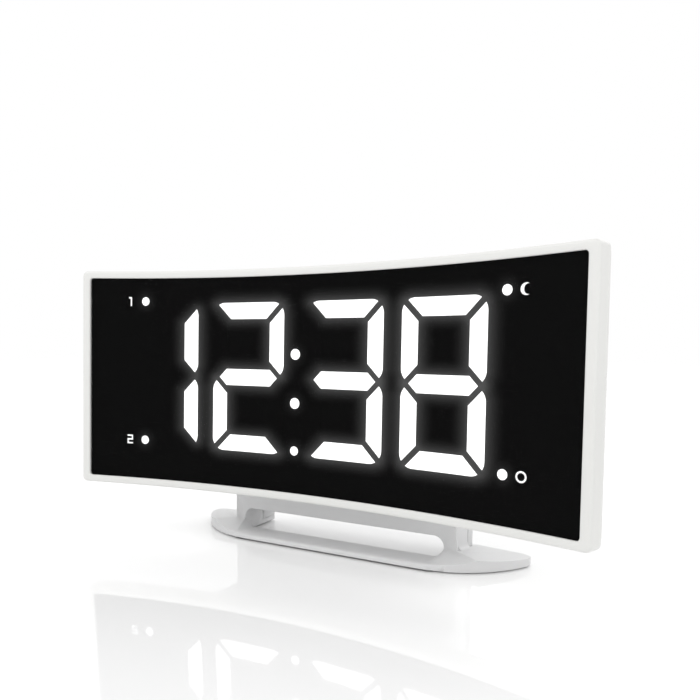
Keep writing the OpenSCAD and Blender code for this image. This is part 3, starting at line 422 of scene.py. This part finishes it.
def rounded(a, b, r, n=6):
    """Rectangle a by b to each side with corners of radius r, as a ring of points."""
    r = min(r, a, b)
    ring = []
    for k, (cx, cy) in enumerate(((a - r, b - r), (r - a, b - r), (r - a, r - b), (a - r, r - b))):
        for j in range(n + 1):
            t = math.pi / 2 * (k + j / n)
            ring.append((cx + r * math.cos(t), cy + r * math.sin(t)))
    return ring


def loft(rings):
    """Closed solid through rings of [(x, y, z)] of one length, with flat ends."""
    n = len(rings[0])
    verts = [p for ring in rings for p in ring]
    faces = [tuple(reversed(range(n)))]
    for i in range(len(rings) - 1):
        for j in range(n):
            k = (j + 1) % n
            faces.append((i * n + j, i * n + k, (i + 1) * n + k, (i + 1) * n + j))
    faces.append(tuple(range((len(rings) - 1) * n, len(rings) * n)))
    return verts, faces


def sweep(rings):
    """Closed ring-shaped solid through rings of points, the last one joined to the first."""
    n, count = len(rings[0]), len(rings)
    faces = []
    for i in range(count):
        here, there = i * n, (i + 1) % count * n
        for j in range(n):
            k = (j + 1) % n
            faces.append((here + j, there + j, there + k, here + k))
    return [p for ring in rings for p in ring], faces


def join(solids):
    """Several (verts, faces) as one."""
    verts, faces = [], []
    for v, f in solids:
        faces += [tuple(i + len(verts) for i in face) for face in f]
        verts += v
    return verts, faces


# ------------------------------------------------------------------------------------------------
# The white frame round the window: a section swept round the window's edge
# Bow of the upper edge, play round the lens, and radius of the corners of the lens's seat
BOW_MIDDLE, BOW_END = -0.25, 0.55
SEAT_SLIP, SEAT_R = 0.02, 0.4


def frame_ring(past_end, past_band, radius, depth, bow=True, n=90):
    """Ring that far outside the window's ends and its long edges, on the curve, that deep. Its
    upper edge is bowed a little, lowest in the middle."""
    a, b = WINDOW_W / 2 + past_end, WINDOW_H / 2 + past_band
    ring = []
    for x, z in rounded(a, b, radius):
        if ring and abs(x - ring[-1][0]) > a:
            x0 = ring[-1][0]
            ring += [(x0 + (x - x0) * k / n, z) for k in range(1, n)]
        ring.append((x, z))
    x0 = ring[-1][0]
    if abs(ring[0][0] - x0) > a:
        ring += [(x0 + (ring[0][0] - x0) * k / n, z) for k in range(1, n)]
    if bow:
        ring = [(x, z + max(z, 0.0) / b * (BOW_MIDDLE + (BOW_END - BOW_MIDDLE) * (x / a) ** 2))
                for x, z in ring]
    return [head_point(x, z, CURVE_R + depth) for x, z in ring]


# The section, from the lip's inner edge round the outside: share of the frame's width at its
# ends, the same at its long edges, and depth. The ends turn in to the back earlier.
SECTION = ((0.0, 0.0, -0.50), (0.03, 0.03, -0.62), (0.10, 0.10, -0.69), (0.34, 0.34, -LIP_T),
           (0.62, 0.62, -0.69), (0.80, 0.81, -0.62), (0.895, 0.91, -0.44), (0.94, 0.955, -0.14),
           (0.955, 0.97, 0.30), (0.97, 0.98, 1.4), (0.985, 0.99, 2.6), (0.99, 1.0, 3.4),
           (0.965, 1.0, 4.1), (0.865, 0.985, 4.8), (0.74, 0.93, 5.6), (0.61, 0.85, 6.4),
           (0.50, 0.75, 7.2), (0.43, 0.62, 7.85))


def make_bezel():
    """The frame, as one solid round the window."""
    rings = []
    for end, band, depth in SECTION:
        rings.append(frame_ring(end * FRAME_END, band * FRAME_BAND, 1.0 + 0.7 * end, depth))
    seat = LENS_UNDER + SEAT_SLIP
    for depth in (HEAD_DEPTH - SEAT_SLIP, SEAT_SLIP):
        rings.append(frame_ring(seat, seat, SEAT_R, depth, bow=False))
    rings.append(frame_ring(0.0, 0.0, 1.0, SEAT_SLIP))
    ob = from_mesh("window_frame", *sweep(rings), [WHITE])
    ob.data.set_sharp_from_angle(angle=math.radians(50.0))
    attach(ob, "clock")
    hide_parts("front_bezel")


make_bezel()


# ------------------------------------------------------------------------------------------------
# The mask behind the lens, with the glow that leaks round the lit segments
def segment_outline(i):
    """Segment of a digit round the digit's middle, with its corners cut as the part's are."""
    hw, hh, w = DIGIT_W / 2, DIGIT_H / 2, SEG_W
    m = SEG_GAP / math.sqrt(2)
    tip = hw - 1.3 * SEG_GAP
    flat = [(-hw + m + 1.6, hh), (hw - m - 1.6, hh), (hw - m - 0.3, hh - 0.5),
            (hw - w - m, hh - w), (-hw + w + m, hh - w), (-hw + m + 0.3, hh - 0.5)]
    side = [(hw - 0.4, hh - m - 0.9), (hw - w, hh - w - m), (hw - w, w), (hw - 0.9, 1.0),
            (hw, 3.6), (hw, hh - 4.0)]
    middle = [(-tip + w / 2, w / 2), (tip - w / 2, w / 2), (tip, 0), (tip - w / 2, -w / 2),
              (-tip + w / 2, -w / 2), (-tip, 0)]
    if i == 6:
        return middle
    pts = flat if i in (0, 3) else side
    sx = -1.0 if i in (4, 5) else 1.0
    sz = -1.0 if i in (2, 3, 4) else 1.0
    return [(x * sx, z * sz) for x, z in pts]


def distance(px, pz, outline):
    """Distance of points to a polygon, zero inside."""
    best = np.full(px.shape, 1e9)
    inside = np.zeros(px.shape, bool)
    k = len(outline)
    for j in range(k):
        x0, z0 = outline[j]
        x1, z1 = outline[(j + 1) % k]
        dx, dz = x1 - x0, z1 - z0
        t = np.clip(((px - x0) * dx + (pz - z0) * dz) / (dx * dx + dz * dz), 0.0, 1.0)
        best = np.minimum(best, np.hypot(px - x0 - t * dx, pz - z0 - t * dz))
        cross = (z0 > pz) != (z1 > pz)
        with np.errstate(divide="ignore", invalid="ignore"):
            at = x0 + (pz - z0) * dx / (dz if dz else 1e-9)
        inside ^= cross & (px < at)
    best[inside] = 0.0
    return best


# Painted glow: its reach from a segment's edge, its brightness there above the panel's even painted
# grey, both on the 0 to 255 scale; it reaches further to the sides than up and down
GLOW_REACH, GLOW_PEAK, GLOW_SIDE = 4.3, 62.0, 0.78
DOT_REACH, DOT_PEAK = 3.4, 26.0
# Even painted light given off by the whole dark panel, 0 to 255, that lifts its black to a lit grey
PANEL_PAINTED_LIGHT = 14.5

# The mask lies that far behind the guides' front faces, and is that thick
MASK_BACK, MASK_T = 0.06, 0.3


def glow_field(s, h):
    """Painted brightness, 0 to 255, of the dark panel: an even painted grey and glow round the
    lights.
    """
    total = np.zeros(s.shape)
    for d, segments in enumerate(LIT):
        for i in segments:
            outline = [(x * GLOW_SIDE, z) for x, z in segment_outline(i)]
            away = distance((s - DIGIT_S[d]) * GLOW_SIDE, h - RISE, outline)
            total += (GLOW_PEAK * np.clip(1.0 - away / GLOW_REACH, 0.0, 1.0) ** 1.5) ** 2
    for cs, ch in COLON_DOTS + INDICATORS:
        away = np.maximum(np.hypot(s - cs, h - ch) - DOT_R, 0.0)
        total += (DOT_PEAK * np.clip(1.0 - away / DOT_REACH, 0.0, 1.0) ** 1.6) ** 2
    return PANEL_PAINTED_LIGHT + np.sqrt(total)


def add_glow(ob, s, h):
    """Give a piece's points the panel's painted brightness at their places, for its emission."""
    lin = np.array([linear(v) for v in glow_field(np.array(s), np.array(h))], np.float32)
    layer = ob.data.color_attributes.new("glow", "FLOAT_COLOR", "POINT")
    data = np.ones((len(lin), 4), np.float32)
    data[:, :3] = lin[:, None]
    layer.data.foreach_set("color", data.ravel())


def make_mask():
    """Closed thin sheet behind the lens, with a fine front face that carries the glow."""
    half_s, half_h, step = 80.6, 32.9, 0.4
    ns, nh = int(2 * half_s / step), int(2 * half_h / step)
    grid_s, grid_h = np.meshgrid(np.linspace(-half_s, half_s, ns + 1),
                                 np.linspace(-half_h, half_h, nh + 1))
    s, h = grid_s.ravel(), grid_h.ravel()
    row = ns + 1
    faces = [(j * row + i, j * row + i + 1, (j + 1) * row + i + 1, (j + 1) * row + i)
             for j in range(nh) for i in range(ns)]
    verts = [head_point(a, b, R_MASK + MASK_BACK) for a, b in zip(s, h)]
    low, high = len(verts), len(verts) + row
    for edge in (-half_h, half_h):
        verts += [head_point(a, edge, R_MASK + MASK_BACK + MASK_T) for a in s[:row]]
    top = nh * row
    for i in range(ns):
        faces += [(low + i + 1, low + i, high + i, high + i + 1), (i + 1, i, low + i, low + i + 1),
                  (top + i, top + i + 1, high + i + 1, high + i)]
    for i in (0, ns):
        faces.append(tuple(j * row + i for j in range(nh + 1)) + (high + i, low + i))
    ob = from_mesh("mask_with_glow", verts, faces, [PANEL])
    add_glow(ob, np.concatenate((s, s[:row], s[:row])), np.concatenate((h, h[:row], h[-row:])))
    return ob


# The unlit guides' place behind the lit ones' front faces, and their thickness
UNLIT_BACK, UNLIT_T = 0.01, 1.2


def make_unlit(step=1.0):
    """Smoked guides of the segments that are off, which take up the glow of their neighbours."""
    s, h, verts, faces = [], [], [], []
    for d in range(4):
        for i in set(MADE[d]) - set(LIT[d]):
            bm = bmesh.new()
            bm.faces.new([bm.verts.new((x, z, 0.0)) for x, z in segment_outline(i)])
            for axis, reach in ((0, DIGIT_W / 2), (1, DIGIT_H / 2)):
                for k in range(int(2 * reach / step)):
                    at = [0.0, 0.0, 0.0]
                    normal = [0.0, 0.0, 0.0]
                    at[axis] = -reach + (k + 0.5) * step
                    normal[axis] = 1.0
                    bmesh.ops.bisect_plane(bm, geom=bm.verts[:] + bm.edges[:] + bm.faces[:],
                                           plane_co=at, plane_no=normal)
            bmesh.ops.recalc_face_normals(bm, faces=bm.faces)
            front = len(verts)
            bm.verts.index_update()
            rim = [e for e in bm.edges if e.is_boundary]
            here = [(v.co.x + DIGIT_S[d], v.co.y + RISE) for v in bm.verts]
            n = len(here)
            for depth in (0.0, UNLIT_T):
                verts += [head_point(a, b, R_MASK + UNLIT_BACK + depth) for a, b in here]
                s += [a for a, _ in here]
                h += [b for _, b in here]
            for f in bm.faces:
                ids = [front + v.index for v in f.verts]
                faces.append(tuple(ids))
                faces.append(tuple(j + n for j in reversed(ids)))
            for e in rim:
                a, b = (front + v.index for v in e.verts)
                faces.append((a, b, b + n, a + n))
            bm.free()
    ob = from_mesh("unlit_guides", verts, faces, [PANEL], smooth=False)
    add_glow(ob, s, h)
    return ob


mask = make_mask()
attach(mask, "clock")
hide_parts("light_mask")

unlit = make_unlit()
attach(unlit, "clock")
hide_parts("unlit_segments")


def make_domes(n=32):
    """Light pipes of the five indicators, each with a shallow domed end behind the lens."""
    solids = []
    for s, h in INDICATORS:
        rings = []
        for r, depth in ((DOT_R, 1.3), (DOT_R, 0.05), (0.93 * DOT_R, 0.03),
                         (0.6 * DOT_R, 0.015), (0.2 * DOT_R, 0.01)):
            rings.append([head_point(s + r * math.cos(2 * math.pi * k / n),
                                     h + r * math.sin(2 * math.pi * k / n), R_MASK + depth)
                          for k in range(n)])
        solids.append(loft(rings))
    ob = from_mesh("indicator_pipes", *join(solids), [LIT_MAT])
    ob.data.set_sharp_from_angle(angle=math.radians(40.0))
    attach(ob, "clock")
    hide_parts("indicator_dots")


make_domes()


# ------------------------------------------------------------------------------------------------
# Plain marks: numerals, signs and a crescent, as outlines round their own centre
def bar(x0, z0, x1, z1, w):
    """Straight line of width w."""
    dx, dz = x1 - x0, z1 - z0
    k = w / 2 / math.hypot(dx, dz)
    return [(x0 - dz * k, z0 + dx * k), (x0 + dz * k, z0 - dx * k),
            (x1 + dz * k, z1 - dx * k), (x1 - dz * k, z1 + dx * k)]


def path(points, w):
    """Line of even width through points, mitred and with square ends, as one outline."""
    ways = []
    for (x0, z0), (x1, z1) in zip(points, points[1:]):
        length = math.hypot(x1 - x0, z1 - z0)
        ways.append(((x1 - x0) / length, (z1 - z0) / length))
    left, right = [], []
    last = len(points) - 1
    for i, (x, z) in enumerate(points):
        before, after = ways[max(i - 1, 0)], ways[min(i, last - 1)]
        past = w / 2 * ((i == last) - (i == 0))
        x, z = x + after[0] * past, z + after[1] * past
        nx, nz = -before[1] - after[1], before[0] + after[0]
        k = w / (nx * nx + nz * nz)
        left.append((x + nx * k, z + nz * k))
        right.append((x - nx * k, z - nz * k))
    return [left + right[::-1]]


def numeral(which, high, w):
    """A 1 or a 2."""
    x, z = high * 0.27, high / 2 - w / 2
    if which == 1:
        return path([(-x * 0.5, z), (x * 0.3, z), (x * 0.3, -z)], w)
    return path([(-x, z), (x, z), (x, 0.0), (-x, 0.0), (-x, -z), (x, -z)], w)


def crescent(r, n=20):
    """Moon open to the right, as one outline."""
    t0 = math.radians(60.0)
    outer, inner = [], []
    for j in range(n + 1):
        t = t0 + (2 * math.pi - 2 * t0) * j / n
        share = 1 - 0.62 * math.sin(math.pi * j / n)
        outer.append((r * math.cos(t), r * math.sin(t)))
        inner.append((share * outer[-1][0], share * outer[-1][1]))
    return [outer + inner[-2:0:-1]]


def ring_solid(r, w, place, thick, n=32):
    """Thin flat ring."""
    turn = [2 * math.pi * j / n for j in range(n)]
    return sweep([[place(q * math.cos(t), q * math.sin(t), d) for t in turn]
                  for q, d in ((r, 0.0), (r, thick), (r - w, thick), (r - w, 0.0))])


def mark_solids(outlines, place, thick):
    """Thin solids of flat outlines; place(x, z, depth) gives a point on the surface, in metres."""
    out = []
    for pts in outlines:
        area = sum(x0 * z1 - x1 * z0 for (x0, z0), (x1, z1) in zip(pts, pts[1:] + pts[:1]))
        pts = pts if area > 0 else pts[::-1]
        out.append(loft([[place(x, z, 0.0) for x, z in pts], [place(x, z, thick) for x, z in pts]]))
    return out


# Signs beside the indicators: height, line width, thickness, and distance from the indicator
MARK_H, MARK_W, MARK_T = 2.9, 0.45, 0.03
MARK_LEFT, MARK_RIGHT = 5.6, 5.6 - 0.6
MARK_BACK = 0.05


def on_panel(s, h):
    """Function that places a mark's point on the panel round s and h."""
    return lambda x, z, depth: head_point(s + x, h + z, R_MASK + MARK_BACK - depth)


marks = []
for outlines, s, h in ((numeral(1, MARK_H, MARK_W), DOT_LEFT - MARK_LEFT, DOT_HIGH),
                       (numeral(2, MARK_H, MARK_W), DOT_LEFT - MARK_LEFT, DOT_LOW),
                       (crescent(1.5), DOT_RIGHT + MARK_RIGHT, DOT_HIGH)):
    marks += mark_solids(outlines, on_panel(s, h), MARK_T)
marks.append(ring_solid(MARK_H / 2, MARK_W, on_panel(DOT_RIGHT + MARK_RIGHT, DOT_LOW), MARK_T))
# The signs glow with the painted light of their print material
panel_marks = from_mesh("panel_marks", *join(marks), [PRINT_PAINTED_GLOW], smooth=False)
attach(panel_marks, "clock")


# ------------------------------------------------------------------------------------------------
# Keys: crowned caps on their flanges and stems
# How far a cap's middle stands above its rim, the rim's rounding, how far the whole cap stays
# below the solid's top, and how deep signs and ridges reach into it and stand out of it
CROWN, SHOULDER, CAP_BELOW = 0.35, 0.45, 0.05
SIGN_IN, SIGN_OUT = 0.25, 0.02
RIDGE_IN, RIDGE_OUT = 0.3, 0.04
ROUND_STEPS = 5


def cap_height(x, y, a, b):
    """How far the crowned top lies below its middle."""
    return CROWN * min(1.0, (x / a) ** 2 + (y / b) ** 2)


def key_solids(a, b, r, top, flange_top, bottom):
    """Cap, flange and stem of a key, as rings of (x, y, height)."""
    rings = [[(x, y, flange_top - FLANGE_T / 2) for x, y in rounded(a, b, r)]]
    edge = top - CROWN - SHOULDER
    rings.append([(x, y, edge) for x, y in rounded(a, b, r)])
    for k in range(1, ROUND_STEPS + 1):
        t = math.pi / 2 * k / ROUND_STEPS
        inset = SHOULDER * (1 - math.cos(t))
        ring = rounded(a - inset, b - inset, max(r - inset, 0.3))
        rings.append([(x, y, edge + SHOULDER * math.sin(t)
                       + (CROWN - cap_height(x, y, a - inset, b - inset)) * k / ROUND_STEPS)
                      for x, y in ring])
    for k in range(1, ROUND_STEPS + 1):
        share = 1 - k / (ROUND_STEPS + 0.4)
        a1, b1 = (a - SHOULDER) * share, (b - SHOULDER) * share
        rings.append([(x, y, top - cap_height(x, y, a - SHOULDER, b - SHOULDER))
                      for x, y in rounded(a1, b1, max(r - SHOULDER, 0.3) * share)])
    a2, b2 = a + KEY_FLANGE, b + KEY_FLANGE
    flange = [[(x, y, z) for x, y in rounded(a2, b2, r)]
              for z in (flange_top - FLANGE_T, flange_top)]
    stem = [[(x, y, z) for x, y in rounded(STEM_R, STEM_R, STEM_R)]
            for z in (bottom, flange_top - FLANGE_T / 2)]
    return [loft(rings), loft(flange), loft(stem)]


def make_key(node, body, r, up, outlines=(), ridges=()):
    """Key in place of its CAD node; up is Z for a top key and Y for a rear one."""
    low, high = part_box(node)
    low, high = low / MM, high / MM
    mid = (low + high) / 2
    if up == "z":
        a, b = (high.x - low.x) / 2 - KEY_FLANGE, (high.y - low.y) / 2 - KEY_FLANGE
        bottom, top = low.z, high.z

        def place(x, y, z):
            return Vector((mid.x + x, mid.y + y, z)) * MM
    else:
        a, b = (high.x - low.x) / 2 - KEY_FLANGE, (high.z - low.z) / 2 - KEY_FLANGE
        bottom, top = low.y, high.y

        def place(x, y, z):
            return Vector((mid.x - x, z, mid.z + y)) * MM

    top -= CAP_BELOW
    flange_top = bottom + FLANGE_TOP
    solids = key_solids(a, b, r, top, flange_top, bottom)
    for x in ridges:
        solids.append(loft([[(x + p, q, top + z) for p, q in rounded(0.35, b * 0.45, 0.3)]
                            for z in (-RIDGE_IN, RIDGE_OUT)]))
    verts, faces = join(solids)
    body_faces = len(faces)
    ink = mark_solids(outlines, lambda x, y, d: (x, y, top - SIGN_IN + d), SIGN_IN + SIGN_OUT)
    if ink:
        more = join(ink)
        faces += [tuple(i + len(verts) for i in f) for f in more[1]]
        verts += more[0]
    piece = from_mesh(node + "_cap", [place(*v) for v in verts], faces, [KEY, INK])
    for f in piece.data.polygons[body_faces:]:
        f.material_index = 1
    piece.data.set_sharp_from_angle(angle=math.radians(35.0))
    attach(piece, body)
    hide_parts(node)


SIGN_W = 0.42
FAR, NEAR = 1.1, SIGN_W / 2
PLUS = [[(NEAR, NEAR), (NEAR, FAR), (-NEAR, FAR), (-NEAR, NEAR), (-FAR, NEAR), (-FAR, -NEAR),
         (-NEAR, -NEAR), (-NEAR, -FAR), (NEAR, -FAR), (NEAR, -NEAR), (FAR, -NEAR), (FAR, NEAR)]]
MINUS = [bar(-1.1, 0, 1.1, 0, SIGN_W)]
TURN = [[(-1.2, -0.9), (1.2, -0.9), (0.0, 1.1)]]
STORE = [bar(-0.9, -0.9, 0.9, -0.9, SIGN_W), bar(-0.9, 0.0, 0.9, 0.0, SIGN_W),
         bar(-0.9, 0.9, 0.9, 0.9, SIGN_W)]
WAVES = [bar(x, -h, x, h, SIGN_W) for x, h in ((-0.9, 0.5), (0.0, 1.1), (0.9, 0.5))]


def key_body(node):
    """The moving body that a key's CAD node rides on."""
    return body_of(NODES[node])[0]


make_key("snooze_key", key_body("snooze_key"), 1.0, "z", ridges=(-1.6, 0.0, 1.6))
make_key("radio_key", key_body("radio_key"), 1.0, "z", outlines=WAVES)
make_key("sleep_key", key_body("sleep_key"), 1.0, "z", outlines=crescent(1.2))
for node, sign in (("memory_key", STORE), ("alarm_1_key", numeral(1, 2.6, SIGN_W)),
                   ("alarm_2_key", numeral(2, 2.6, SIGN_W)), ("minus_key", MINUS),
                   ("plus_key", PLUS), ("flip_key", TURN)):
    make_key(node, key_body(node), 2.0, "y", outlines=sign)


# ------------------------------------------------------------------------------------------------
# Stage, light and camera
FLOOR_HALF = 1.6


def make_floor():
    s = Shader("pale_floor")
    s.set(Base_Color=(0.99, 0.99, 0.99, 1.0), Specular_IOR_Level=1.0)
    s.spread(s.noise(s.place(), 8.0), 0.03, 0.045, "Roughness")
    corners = [(x * FLOOR_HALF, y * FLOOR_HALF, 0) for x, y in ((-1, -1), (1, -1), (1, 1), (-1, 1))]
    ob = from_mesh("floor", corners, [(0, 1, 2, 3)], [s.mat], smooth=False, closed=False)


make_floor()


CLOCK_MIDDLE = (0, 0, 0.04)


def area(name, place, size, power):
    """Soft light aimed at the clock."""
    data = bpy.data.lights.new(name, "AREA")
    data.shape = "RECTANGLE"
    data.size, data.size_y = size
    data.energy = power
    ob = bpy.data.objects.new(name, data)
    ob.location = place
    ob.rotation_mode = "QUATERNION"
    ob.rotation_quaternion = (Vector(CLOCK_MIDDLE) - Vector(place)).to_track_quat("-Z", "Y")
    bpy.context.scene.collection.objects.link(ob)


area("key", (-0.55, -0.75, 0.95), (0.9, 0.9), 4.0)
area("fill", (0.95, -0.5, 0.6), (0.8, 0.8), 1.6)
area("back", (0.1, 1.0, 0.7), (1.2, 0.6), 2.0)

scene = bpy.context.scene
world = bpy.data.worlds.new("studio")
world.use_nodes = True
background = world.node_tree.nodes["Background"]
background.inputs["Color"].default_value = (1.0, 1.0, 1.0, 1.0)
background.inputs["Strength"].default_value = 1.0
scene.world = world
scene.view_settings.view_transform = "Standard"

# The camera's turn to the left and down, in radians, and its place, in metres
YAW, PITCH_DOWN = 0.5091, 0.0776
CAMERA = (0.108678, (-170.766 + LENS_Y) * MM, (14.087 + WINDOW_Z) * MM)
ahead = Vector((-math.sin(YAW) * math.cos(PITCH_DOWN), math.cos(YAW) * math.cos(PITCH_DOWN),
                -math.sin(PITCH_DOWN)))
right = Vector((math.cos(YAW), math.sin(YAW), 0.0))
up = right.cross(ahead)
lens_data = bpy.data.cameras.new("camera")
lens_data.lens = 36.0
lens_data.sensor_width = 36.0
lens_data.shift_y = 40.6 / 700.0
lens_data.clip_start = 0.01
lens_data.clip_end = 20.0
camera = bpy.data.objects.new("camera", lens_data)
camera.matrix_world = Matrix((
    (right.x, up.x, -ahead.x, CAMERA[0]),
    (right.y, up.y, -ahead.y, CAMERA[1]),
    (right.z, up.z, -ahead.z, CAMERA[2]),
    (0, 0, 0, 1),
))
scene.collection.objects.link(camera)
scene.camera = camera
